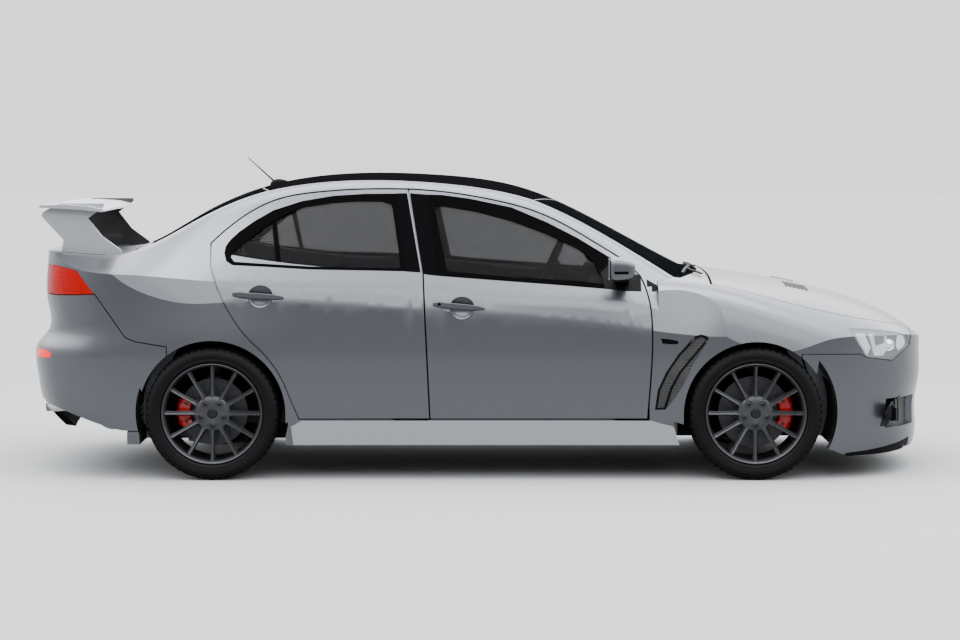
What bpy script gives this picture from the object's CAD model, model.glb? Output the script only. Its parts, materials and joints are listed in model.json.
"""Rally car in silver with a black roof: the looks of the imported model, seen from its right side."""

from __future__ import annotations

import json
import logging
import math
from collections.abc import Iterable
from dataclasses import dataclass, field
from enum import Enum

import bmesh
import bpy
from mathutils import Matrix, Vector
from mathutils.bvhtree import BVHTree

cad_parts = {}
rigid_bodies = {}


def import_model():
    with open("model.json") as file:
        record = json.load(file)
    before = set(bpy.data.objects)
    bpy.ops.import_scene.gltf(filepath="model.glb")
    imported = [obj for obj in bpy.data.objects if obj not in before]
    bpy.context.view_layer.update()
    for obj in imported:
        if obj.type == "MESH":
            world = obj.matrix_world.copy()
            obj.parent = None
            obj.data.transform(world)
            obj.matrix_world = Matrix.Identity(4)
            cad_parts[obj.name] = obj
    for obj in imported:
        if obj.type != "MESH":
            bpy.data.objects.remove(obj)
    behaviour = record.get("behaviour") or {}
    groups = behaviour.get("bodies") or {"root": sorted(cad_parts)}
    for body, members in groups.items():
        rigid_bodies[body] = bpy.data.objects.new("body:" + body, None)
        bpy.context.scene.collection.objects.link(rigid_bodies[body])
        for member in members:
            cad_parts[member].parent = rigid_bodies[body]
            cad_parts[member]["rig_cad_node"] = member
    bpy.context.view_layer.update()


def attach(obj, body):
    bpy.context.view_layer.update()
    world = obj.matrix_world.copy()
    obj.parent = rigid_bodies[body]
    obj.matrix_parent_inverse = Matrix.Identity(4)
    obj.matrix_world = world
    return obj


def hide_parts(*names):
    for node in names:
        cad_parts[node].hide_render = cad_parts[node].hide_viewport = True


MM = 0.001
LOG = logging.getLogger("rally_car")

# Short names of Blender's own types, for the hints
Tree = bpy.types.NodeTree
Node = bpy.types.Node
Socket = bpy.types.NodeSocket


class Side(Enum):
    """Right or left side of the car, as the sign of Y."""

    RIGHT = -1
    LEFT = 1

    @property
    def word(self) -> str:
        """Name used in node and piece names."""
        return self.name.lower()


class Axle(Enum):
    """Front or rear axle, as its X in millimetres."""

    FRONT = 1347.5
    REAR = -1302.5

    @property
    def word(self) -> str:
        """Name used in node and piece names."""
        return self.name.lower()


def linear(colour: str) -> tuple[float, float, float, float]:
    """Turn an sRGB hex colour to linear light.

    Args:
        colour: Six hex digits after a hash sign.

    Returns:
        Red, green, blue and an alpha of one.
    """
    parts = [int(colour[i:i + 2], 16) / 255 for i in (1, 3, 5)]
    light = [p / 12.92 if p <= 0.04045 else ((p + 0.055) / 1.055) ** 2.4 for p in parts]
    return (light[0], light[1], light[2], 1.0)


def add(tree: Tree, kind: str, inputs: dict | None = None, **settings) -> Node:
    """Add one node with its settings, values and links.

    Args:
        tree: Node tree that gets it.
        kind: Type of the node.
        inputs: Socket names or numbers with a value, or with the output that feeds them.
        settings: Properties of the node itself.

    Returns:
        The new node.
    """
    made = tree.nodes.new(kind)
    for name, value in settings.items():
        setattr(made, name, value)
    for name, value in (inputs or {}).items():
        if isinstance(value, Socket):
            tree.links.new(value, made.inputs[name])
        else:
            made.inputs[name].default_value = value
    return made


@dataclass(frozen=True)
class Finish:
    """A finish with its procedural material."""

    name: str
    colour: str
    slot: str
    metallic: float = 0.0
    roughness: float = 0.5
    coat: float = 0.0
    specular: float = 0.5

    def material(self) -> bpy.types.Material:
        """Give the material, made at its first use."""
        found = bpy.data.materials.get(self.name)
        if found:
            return found
        made = bpy.data.materials.new(self.name)
        made.use_nodes = True
        tree = made.node_tree
        tree.nodes.clear()
        shader = add(tree, "ShaderNodeBsdfPrincipled", {
            "Base Color": linear(self.colour), "Metallic": self.metallic, "Roughness": self.roughness,
            "Coat Weight": self.coat, "Coat Roughness": 0.03, "Specular IOR Level": self.specular})
        add(tree, "ShaderNodeOutputMaterial", {"Surface": shader.outputs[0]})
        place = add(tree, "ShaderNodeTexCoord").outputs["Object"]
        self.dress(tree, shader, place)
        made.diffuse_color = linear(self.colour)
        return made

    def dress(self, tree: Tree, shader: Node, place: Socket) -> None:
        """Add the finish's own pattern; a plain finish has fine grain only."""
        self.grain(tree, shader, place, 900.0, 0.06, 0.04)

    def grain(self, tree: Tree, shader: Node, place: Socket, scale: float, height: float,
              spread: float) -> Node:
        """Add noise to the height and the roughness.

        Args:
            tree: Node tree.
            shader: Principled shader.
            place: Object coordinates.
            scale: Grains a metre.
            height: Strength of the bump.
            spread: How far the roughness varies.

        Returns:
            The noise node, for more use.
        """
        noise = add(tree, "ShaderNodeTexNoise", {"Vector": place, "Scale": scale, "Detail": 3.0})
        bump = add(tree, "ShaderNodeBump", {
            "Height": noise.outputs["Fac"], "Strength": height, "Distance": MM})
        tree.links.new(bump.outputs[0], shader.inputs["Normal"])
        rough = add(tree, "ShaderNodeMapRange", {
            "Value": noise.outputs["Fac"], "To Min": self.roughness - spread,
            "To Max": self.roughness + spread})
        tree.links.new(rough.outputs[0], shader.inputs["Roughness"])
        return noise

    def tint(self, tree: Tree, shader: Node, factor: Socket, other: str) -> None:
        """Mix the colour with another one by a factor."""
        mix = add(tree, "ShaderNodeMix", {0: factor, 6: linear(self.colour), 7: linear(other)},
                  data_type="RGBA")
        tree.links.new(mix.outputs[2], shader.inputs["Base Color"])


@dataclass(frozen=True)
class MetallicPaint(Finish):
    """Sprayed basecoat with aluminium flake under clear lacquer: a soft metal gleam under a sharp gloss."""

    flake_colour: str = "#7d7f83"

    def dress(self, tree: Tree, shader: Node, place: Socket) -> None:
        """Scatter flakes of about 0.6 mm, drawn coarser than the real 0.05 mm so that they show at all."""
        flakes = add(tree, "ShaderNodeTexVoronoi", {"Vector": place, "Scale": 1600.0})
        tone = add(tree, "ShaderNodeMapRange", {"Value": flakes.outputs["Distance"], "From Max": 0.6,
                                                "To Min": 0.5, "To Max": 0.0})
        self.tint(tree, shader, tone.outputs[0], self.flake_colour)
        peel = add(tree, "ShaderNodeTexNoise", {"Vector": place, "Scale": 60.0, "Detail": 2.0})
        bump = add(tree, "ShaderNodeBump", {"Height": peel.outputs["Fac"], "Strength": 0.02, "Distance": MM})
        tree.links.new(bump.outputs[0], shader.inputs["Normal"])
        rough = add(tree, "ShaderNodeMapRange", {
            "Value": flakes.outputs["Distance"], "To Min": self.roughness - 0.04,
            "To Max": self.roughness + 0.06})
        tree.links.new(rough.outputs[0], shader.inputs["Roughness"])


@dataclass(frozen=True)
class Glass(Finish):
    """Glass or clear plastic, rolled or moulded: its own tone, and what lies behind it shows through."""

    clearness: float = 0.3
    ior: float = 1.5
    ripple: float = 0.01

    def dress(self, tree: Tree, shader: Node, place: Socket) -> None:
        """Let light through and add the slight ripple of rolled or moulded glass."""
        shader.inputs["Alpha"].default_value = 1 - self.clearness
        shader.inputs["IOR"].default_value = self.ior
        wave = add(tree, "ShaderNodeTexNoise", {"Vector": place, "Scale": 8.0})
        bump = add(tree, "ShaderNodeBump", {
            "Height": wave.outputs["Fac"], "Strength": self.ripple, "Distance": MM})
        tree.links.new(bump.outputs[0], shader.inputs["Normal"])


@dataclass(frozen=True)
class PrismLens(Glass):
    """Moulded acrylic lens with small inner prisms: deep colour broken into bright cells."""

    pitch: float = 9.0

    def dress(self, tree: Tree, shader: Node, place: Socket) -> None:
        """Lay rows of prisms, 9 mm apart, in the bump."""
        super().dress(tree, shader, place)
        rows = add(tree, "ShaderNodeTexWave", {"Vector": place, "Scale": math.tau / 20 / (self.pitch * MM)},
                   bands_direction="Z")
        bump = add(tree, "ShaderNodeBump", {"Height": rows.outputs["Fac"], "Strength": 0.25, "Distance": MM})
        tree.links.new(bump.outputs[0], shader.inputs["Normal"])


@dataclass(frozen=True)
class Grained(Finish):
    """Injection-moulded plastic or cast metal with a texture of its mould: matt, with a fine grain."""

    grain_size: float = 1.2
    relief: float = 0.25

    def dress(self, tree: Tree, shader: Node, place: Socket) -> None:
        """Give the grain its real size and a slight change of tone."""
        noise = self.grain(tree, shader, place, 1000 / self.grain_size, self.relief, 0.08)
        tone = add(tree, "ShaderNodeMapRange", {"Value": noise.outputs["Fac"], "To Max": 0.35})
        self.tint(tree, shader, tone.outputs[0], "#000000")


@dataclass(frozen=True)
class Woven(Finish):
    """Woven cloth or fibre: two sets of threads that cross at right angles."""

    pitch: float = 4.0
    thread_colour: str = "#3a3a3d"
    relief: float = 0.5

    def dress(self, tree: Tree, shader: Node, place: Socket) -> None:
        """Cross two bands of threads; their spacing is coarser than the real 1 mm so that it shows."""
        scale = math.tau / 20 / (self.pitch * MM)
        bands = [add(tree, "ShaderNodeTexWave", {"Vector": place, "Scale": scale, "Distortion": 0.3},
                     bands_direction=way).outputs["Fac"] for way in ("DIAGONAL", "Z")]
        cross = add(tree, "ShaderNodeMath", {0: bands[0], 1: bands[1]}, operation="MULTIPLY")
        self.tint(tree, shader, cross.outputs[0], self.thread_colour)
        bump = add(tree, "ShaderNodeBump", {
            "Height": cross.outputs[0], "Strength": self.relief, "Distance": MM})
        tree.links.new(bump.outputs[0], shader.inputs["Normal"])
        rough = add(tree, "ShaderNodeMapRange", {"Value": cross.outputs[0], "To Min": self.roughness,
                                                 "To Max": self.roughness - 0.1})
        tree.links.new(rough.outputs[0], shader.inputs["Roughness"])


@dataclass(frozen=True)
class Mesh(Finish):
    """Expanded mesh of black plastic over a dark space: a net of small diamonds."""

    pitch: float = 14.0

    def dress(self, tree: Tree, shader: Node, place: Socket) -> None:
        """Draw cells of 14 mm, with the webs lighter than the holes."""
        cells = add(tree, "ShaderNodeTexVoronoi", {
            "Vector": place, "Scale": 1000 / self.pitch, "Randomness": 0.0}, feature="DISTANCE_TO_EDGE")
        web = add(tree, "ShaderNodeMapRange", {"Value": cells.outputs["Distance"], "From Min": 0.06,
                                               "From Max": 0.14, "To Min": 1.0, "To Max": 0.0})
        self.tint(tree, shader, web.outputs[0], "#0e0e0f")
        bump = add(tree, "ShaderNodeBump", {"Height": web.outputs[0], "Strength": 1.0, "Distance": 4 * MM})
        tree.links.new(bump.outputs[0], shader.inputs["Normal"])


@dataclass(frozen=True)
class StudioFloor(Finish):
    """Painted studio floor: pale round the car, and darker below the camera, out of its sight."""

    fade_start: float = -4.8
    fade_end: float = -7.0
    far_colour: str = "#2b2c2d"

    def dress(self, tree: Tree, shader: Node, place: Socket) -> None:
        """Darken the floor softly towards the camera, so that the flanks have something dark to mirror."""
        parts = add(tree, "ShaderNodeSeparateXYZ", {"Vector": place})
        far = add(tree, "ShaderNodeMapRange", {
            "Value": parts.outputs["Y"], "From Min": self.fade_start, "From Max": self.fade_end},
            interpolation_type="SMOOTHSTEP")
        self.tint(tree, shader, far.outputs[0], self.far_colour)


@dataclass(frozen=True)
class TurnedIron(Finish):
    """Grey cast iron, faced on a lathe: dark, with fine rings round the axle."""

    axle_x: float = 0.0
    axle_z: float = 326.5
    ring_pitch: float = 3.0

    def dress(self, tree: Tree, shader: Node, place: Socket) -> None:
        """Turn rings of 3 mm round the axle, coarser than the tool's real marks."""
        centred = add(tree, "ShaderNodeMapping", {"Vector": place,
                                                  "Location": (-self.axle_x * MM, 0.0, -self.axle_z * MM)})
        rings = add(tree, "ShaderNodeTexWave", {
            "Vector": centred.outputs[0], "Scale": math.tau / 20 / (self.ring_pitch * MM)},
            wave_type="RINGS", rings_direction="Y")
        self.tint(tree, shader, rings.outputs["Fac"], "#333437")
        bump = add(tree, "ShaderNodeBump", {"Height": rings.outputs["Fac"], "Strength": 0.1, "Distance": MM})
        tree.links.new(bump.outputs[0], shader.inputs["Normal"])


# Sprayed basecoat with aluminium flake under lacquer: a soft metal gleam under a sharp gloss
SILVER = MetallicPaint("silver_metallic_lacquer", "#4b4d51", "silver_paint", metallic=1.0, roughness=0.34,
                       coat=0.2)
# The same lacquer, drawn lighter on the wing, because its raked faces mirror the sky in the photograph
WING_SILVER = MetallicPaint("wing_silver_lacquer", "#96989c", "spoiler", metallic=1.0, roughness=0.42,
                            coat=0.25, flake_colour="#a6a8ac")
# The same lacquer, drawn lighter on the skirts, which lean out and look brighter than the doors
SKIRT_SILVER = MetallicPaint("skirt_silver_lacquer", "#8a8c90", "silver_paint", metallic=1.0,
                             roughness=0.36, coat=0.25, flake_colour="#9a9ca0")
# Sprayed black lacquer: deep, and without grain
BLACK_GLOSS = Finish("black_gloss_lacquer", "#060607", "black_paint", roughness=0.35, specular=0.0)
# Injection-moulded polypropylene: matt and nearly black, with a fine grain
TRIM_BLACK = Grained("moulded_black_polypropylene", "#050506", "black_plastic", specular=0.04)
# Needled and pressed felt in wheel wells and bays: it swallows the light
WELL_BLACK = Grained("pressed_liner_felt", "#060606", "black_plastic", roughness=0.9, specular=0.3,
                     grain_size=2.5, relief=0.6)
# Extruded rubber: a dull black edge round the glass
SEAL = Finish("extruded_seal_rubber", "#050505", "black_plastic", roughness=0.6, specular=0.0)
# Toughened glass, tinted in the mass: grey, with the cabin dimly seen through it
WINDOW = Glass("tinted_toughened_glass", "#060607", "window_glass", roughness=0.03, specular=0.06,
               clearness=0.48)
# Laminated glass over a dark cabin: a black band at the low angle of the side view
SCREEN = Glass("laminated_screen_glass", "#060708", "window_glass", roughness=0.1, specular=0.0,
               clearness=0.2, ior=1.02)
# Injection-moulded polycarbonate: clear, with a slight grey of its own
LENS = Glass("clear_polycarbonate_lens", "#b4b8bc", "lamp_glass", roughness=0.03, specular=0.4,
             clearness=0.88, ior=1.3)
# Moulded red acrylic: deep red, broken up by rows of prisms
RED_LENS = PrismLens("red_acrylic_lens", "#8c0000", "red_lamp", roughness=0.12, specular=0.1,
                     clearness=0.35, ior=1.49)
# Moulded reflector cells: the brightest red on the car
RED_CELL = Finish("red_reflector_cell", "#c80000", "red_lamp", metallic=0.1, roughness=0.25, specular=0.2)
# Vacuum-aluminised plastic: nearly a mirror
REFLECTOR = Finish("vacuum_aluminised_bowl", "#d4d6d9", "chrome", metallic=1.0, roughness=0.22)
# Moulded black bezel: the dark ground that makes the bowls stand out
LAMP_DARK = Finish("lamp_bezel_black", "#08090a", "black_plastic", metallic=0.2, roughness=0.3,
                   specular=0.2)
# Moulded rubber with carbon black: dull and nearly black, with a fine grain
TYRE = Grained("carbon_black_tyre_rubber", "#040405", "tyre", roughness=0.6, specular=0.08, grain_size=1.6,
               relief=0.3)
# Powder-coated aluminium casting: dark grey with a silky sheen
GUNMETAL = Finish("gunmetal_powder_coat", "#28292b", "rim", metallic=0.5, roughness=0.42, coat=0.1,
                  specular=0.3)
# Thin powder coat on the barrel: darker than the spokes in front of it
RIM_DARK = Finish("rim_barrel_coat", "#0b0b0c", "rim", metallic=0.4, specular=0.2)
# Blackened steel: small dark points with a bright edge
NUT_STEEL = Finish("blackened_wheel_nut", "#1c1d1f", "rim", metallic=0.8, roughness=0.3)
# Cast iron, faced on a lathe: dark, with fine rings round the axle
DISC_FRONT = TurnedIron("front_disc_iron", "#232325", "disc", metallic=0.8, roughness=0.4,
                        axle_x=Axle.FRONT.value)
# The same iron, with its rings round the rear axle
DISC_REAR = TurnedIron("rear_disc_iron", "#232325", "disc", metallic=0.8, roughness=0.4,
                       axle_x=Axle.REAR.value)
# Baked enamel on an aluminium casting: a glossy deep red
CALIPER = Finish("red_caliper_enamel", "#7c0302", "caliper", roughness=0.3, coat=0.1, specular=0.3)
# Forged steel with its scale: dark and rough
STEEL = Grained("forged_steel_scale", "#2a2a2b", "steel", metallic=0.7)
# Sand-cast aluminium: pale grey and grainy
CASTING = Grained("cast_aluminium_skin", "#5d5e60", "engine", metallic=0.8, grain_size=3.0)
# Rolled and polished stainless steel: bright, with clear reflections
CHROME = Finish("polished_stainless_pipe", "#c4c5c8", "chrome", metallic=1.0, roughness=0.12)
# Hot-dip aluminised steel: dull and greyish
PIPE = Finish("aluminised_exhaust_pipe", "#6d6c6a", "chrome", metallic=0.9, roughness=0.4)
# Carbon weave in resin under lacquer: black, with threads that just show
CARBON = Woven("lacquered_carbon_weave", "#0a0a0b", "spoiler", metallic=0.1, roughness=0.3, coat=0.6,
               pitch=6.0, thread_colour="#2b2c2e", relief=0.15)
# Expanded plastic net over a dark space: black diamonds with thin webs
NET = Mesh("black_expanded_mesh", "#050505", "mesh")
# Slush-moulded skin of the dashboard: matt, with a leather-like grain
DASH = Grained("grained_dash_skin", "#161618", "trim", roughness=0.6, grain_size=1.5, relief=0.4)
# Woven polyester: dull, with crossing threads
CLOTH = Woven("woven_seat_cloth", "#121214", "seat_cloth", roughness=0.9)
# Brushed microfibre: nearly without shine
SUEDE = Grained("brushed_seat_suede", "#18181a", "seat_cloth", roughness=0.95, grain_size=0.9, relief=0.5)
# Grained leather of the grip: darker and smoother than the cloth
LEATHER = Grained("grained_wheel_leather", "#0e0e0f", "leather", roughness=0.45, grain_size=2.0, relief=0.5)
# Satin-painted moulding: a soft silver accent
SATIN_SILVER = Finish("satin_silver_moulding", "#8d8f92", "trim", metallic=0.7, roughness=0.35)
# Matt floor paint over concrete: even and pale, so that the car stands out on it
PALE_FLOOR = StudioFloor("pale_studio_floor", "#848586", "trim", roughness=0.9, specular=0.1)


def shade(bm: bmesh.types.BMesh, sharp: float) -> None:
    """Shade a mesh smoothly, but for edges that turn more than some degrees."""
    limit = math.radians(sharp)
    for face in bm.faces:
        face.smooth = True
    for edge in bm.edges:
        edge.smooth = len(edge.link_faces) == 2 and edge.calc_face_angle(0) < limit


def placed(name: str, data: bpy.types.ID) -> bpy.types.Object:
    """Put a mesh, light or camera into the scene as an object."""
    made = bpy.data.objects.new(name, data)
    bpy.context.scene.collection.objects.link(made)
    return made


class Piece:
    """A mesh in the making, which becomes one named object of the car."""

    def __init__(self, name: str, body: str, *finishes: Finish) -> None:
        """Start an empty piece.

        Args:
            name: Name of the finished object.
            body: CAD body that it rides.
            finishes: Finishes in the order of its material numbers.
        """
        self.name = name
        self.body = body
        self.finishes = finishes
        self.bm = bmesh.new()

    def lathe(self, profile: Iterable[tuple[float, float]], centre: Vector, steps: int = 64,
              material: int = 0, closed: bool = False, sign: int = 1) -> list:
        """Spin a profile about a line along Y.

        Args:
            profile: Corners as radius and Y, in millimetres from the centre.
            centre: Centre in metres.
            steps: Faces round the turn.
            material: Number of the finish.
            closed: Whether the last corner joins the first.
            sign: Side of the car that the profile's Y points to.

        Returns:
            The new faces.
        """
        self.mark()
        verts = [self.bm.verts.new(centre + Vector((radius * MM, sign * y * MM, 0))) for radius, y in profile]
        edges = [self.bm.edges.new(pair) for pair in zip(verts, verts[1:])]
        if closed:
            edges.append(self.bm.edges.new((verts[-1], verts[0])))
        bmesh.ops.spin(self.bm, geom=verts + edges, cent=centre, axis=(0, 1, 0), angle=math.tau, steps=steps,
                       use_merge=True)
        bmesh.ops.remove_doubles(self.bm, verts=self.fresh(self.bm.verts), dist=1e-6)
        return self.paint(material)

    def mark(self) -> None:
        """Mark all that there is, so that what is made next can be told from it."""
        for group in (self.bm.verts, self.bm.faces):
            layer = group.layers.int.get("older") or group.layers.int.new("older")
            for element in group:
                element[layer] = 1

    def fresh(self, group: bmesh.types.BMVertSeq | bmesh.types.BMFaceSeq) -> list:
        """Give the vertices or faces made since the last mark."""
        layer = group.layers.int["older"]
        return [element for element in group if not element[layer]]

    def paint(self, material: int) -> list:
        """Number the finish of the faces made since the last mark, and give them."""
        new = self.fresh(self.bm.faces)
        for face in new:
            face.material_index = material
        return new

    def block(self, low: tuple, high: tuple, cuts: int = 0, material: int = 0) -> list:
        """Make a box between two corners in millimetres, cut into a grid, to be shaped further.

        Args:
            low: Lowest corner.
            high: Highest corner.
            cuts: Cuts across every edge.
            material: Number of the finish.

        Returns:
            Its vertices.
        """
        self.mark()
        middle = (Vector(low) + Vector(high)) / 2 * MM
        size = (Vector(high) - Vector(low)) * MM
        made = bmesh.ops.create_cube(self.bm, size=1.0, matrix=Matrix.Translation(middle) @ Matrix.Diagonal(
            (*size, 1.0)))
        if cuts:
            edges = list({edge for vert in made["verts"] for edge in vert.link_edges})
            bmesh.ops.subdivide_edges(self.bm, edges=edges, cuts=cuts, use_grid_fill=True)
        self.paint(material)
        return self.fresh(self.bm.verts)

    def take(self, other: bmesh.types.BMesh, material: int = 0) -> None:
        """Add another mesh in the making, and free it."""
        self.mark()
        passing = bpy.data.meshes.new("passing")
        other.to_mesh(passing)
        other.free()
        self.bm.from_mesh(passing)
        bpy.data.meshes.remove(passing)
        self.paint(material)

    def round_edges(self, offset: float, segments: int = 2, angle: float = 40.0) -> None:
        """Bevel the edges that turn more than an angle, by an offset in millimetres."""
        sharp = [edge for edge in self.bm.edges if len(edge.link_faces) == 2
                 and edge.calc_face_angle(0) > math.radians(angle)]
        bmesh.ops.bevel(self.bm, geom=sharp, offset=offset * MM, segments=segments, profile=0.5,
                        affect="EDGES", material=-1, clamp_overlap=True)

    def done(self, *replaced: str, sharp: float = 32.0, turn_out: bool = False) -> bpy.types.Object:
        """Turn the mesh into an object that rides its body.

        Args:
            replaced: CAD nodes that it stands for.
            sharp: Edges that turn more than this many degrees stay sharp.
            turn_out: Whether to work the normals out again.

        Returns:
            The finished object.
        """
        if turn_out:
            bmesh.ops.recalc_face_normals(self.bm, faces=self.bm.faces)
        shade(self.bm, sharp)
        for group in (self.bm.verts, self.bm.faces):
            layer = group.layers.int.get("older")
            if layer:
                group.layers.int.remove(layer)
        mesh = bpy.data.meshes.new(self.name)
        self.bm.to_mesh(mesh)
        self.bm.free()
        for finish in self.finishes:
            mesh.materials.append(finish.material())
        made = placed(self.name, mesh)
        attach(made, self.body)
        if replaced:
            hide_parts(*replaced)
        LOG.info("piece %s, %d faces", self.name, len(mesh.polygons))
        return made


class Skin:
    """Outer surface of some CAD nodes, for pieces that lie on it."""

    def __init__(self, *names: str) -> None:
        """Gather the triangles of the named nodes."""
        gathered = bmesh.new()
        for name in names:
            gathered.from_mesh(bpy.data.objects[name].data)
        self.tree = BVHTree.FromBMesh(gathered)
        gathered.free()

    def ray(self, start: Vector, way: Vector) -> Vector | None:
        """Give the first point of the skin along a ray, in metres, or nothing."""
        return self.tree.ray_cast(start, way)[0]

    def side_depth(self, x: float, z: float, side: Side) -> float | None:
        """Give how far out the skin is at a point of the side elevation.

        Args:
            x: Station in millimetres.
            z: Level in millimetres.
            side: Side of the car.

        Returns:
            Distance from the centre plane in millimetres, or nothing off the skin.
        """
        hit = self.ray(Vector((x * MM, side.value * 1.3, z * MM)), Vector((0, -side.value, 0)))
        return abs(hit.y) / MM if hit else None


def smooth_line(points: list[tuple[float, float]], steps: int = 6, closed: bool = False) -> list:
    """Round a chain of points with a Catmull-Rom curve.

    Args:
        points: Corners in the plane.
        steps: Points for each stretch.
        closed: Whether the last corner joins the first.

    Returns:
        The finer chain.
    """
    count = len(points)
    fine = []
    for i in range(count if closed else count - 1):
        near = [points[(i + k) % count] if closed else points[min(max(i + k, 0), count - 1)]
                for k in (-1, 0, 1, 2)]
        for step in range(steps):
            t = step / steps
            weights = (-0.5 * t ** 3 + t ** 2 - 0.5 * t, 1.5 * t ** 3 - 2.5 * t ** 2 + 1,
                       -1.5 * t ** 3 + 2 * t ** 2 + 0.5 * t, 0.5 * t ** 3 - 0.5 * t ** 2)
            fine.append(tuple(sum(w * p[axis] for w, p in zip(weights, near)) for axis in (0, 1)))
    if not closed:
        fine.append(points[-1])
    return fine


@dataclass
class SidePanel:
    """Thin piece that follows the side of the car inside an outline of the side elevation."""

    name: str
    body: str
    finish: Finish
    outline: list
    holes: list = field(default_factory=list)
    lift: float = 1.0
    thickness: float = 3.0
    pitch: float = 24.0
    pane_step: float = 8.3
    reaches: tuple = (8, 16, 26, 40)
    widest: float = 800.0

    def build(self, skin: Skin, glass: Skin | None, side: Side, *replaced: str) -> bpy.types.Object:
        """Lay the piece on the skin.

        Args:
            skin: Surface that carries it.
            glass: Panes that lie deeper by pane_step, where the piece spans them.
            side: Side of the car.
            replaced: CAD nodes that it stands for.

        Returns:
            The finished object.
        """
        piece = Piece(self.name, self.body, self.finish)
        bm = piece.bm
        for loop in [self.outline] + self.holes:
            verts = [bm.verts.new((x * MM, 0, z * MM)) for x, z in loop]
            for i, vert in enumerate(verts):
                bm.edges.new((vert, verts[(i + 1) % len(verts)]))
        bmesh.ops.triangle_fill(bm, edges=bm.edges[:], use_beauty=True, use_dissolve=False, normal=(0, -1, 0))
        for axis in (0, 2):
            low = min(vert.co[axis] for vert in bm.verts)
            high = max(vert.co[axis] for vert in bm.verts)
            for i in range(1, int((high - low) / (self.pitch * MM)) + 1):
                spot = Vector()
                spot[axis] = low + i * self.pitch * MM
                way = Vector()
                way[axis] = 1
                bmesh.ops.bisect_plane(bm, geom=bm.verts[:] + bm.edges[:] + bm.faces[:], plane_co=spot,
                                       plane_no=way, dist=1e-6)
        for vert in bm.verts:
            vert.co.y = side.value * (self.depth(vert.co, skin, glass, side) + self.lift) * MM
        bmesh.ops.recalc_face_normals(bm, faces=bm.faces)
        if bm.faces and sum(face.normal.y for face in bm.faces) * side.value < 0:
            bmesh.ops.reverse_faces(bm, faces=bm.faces)
        bmesh.ops.solidify(bm, geom=bm.faces[:], thickness=self.thickness * MM)
        return piece.done(*replaced, turn_out=True)

    def depth(self, place: Vector, skin: Skin, glass: Skin | None, side: Side) -> float:
        """Give the skin's distance from the centre plane at a point, bridged over gaps."""
        x, z = place.x / MM, place.z / MM
        found = skin.side_depth(x, z, side)
        if found is None and glass:
            pane = glass.side_depth(x, z, side)
            found = pane + self.pane_step if pane else None
        if found is not None:
            return found
        for reach in self.reaches:
            near = [skin.side_depth(x + dx, z + dz, side) for dx, dz in
                    ((-reach, 0), (reach, 0), (0, -reach), (0, reach))]
            near = [depth for depth in near if depth]
            if near:
                return sum(near) / len(near)
        return self.widest


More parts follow.
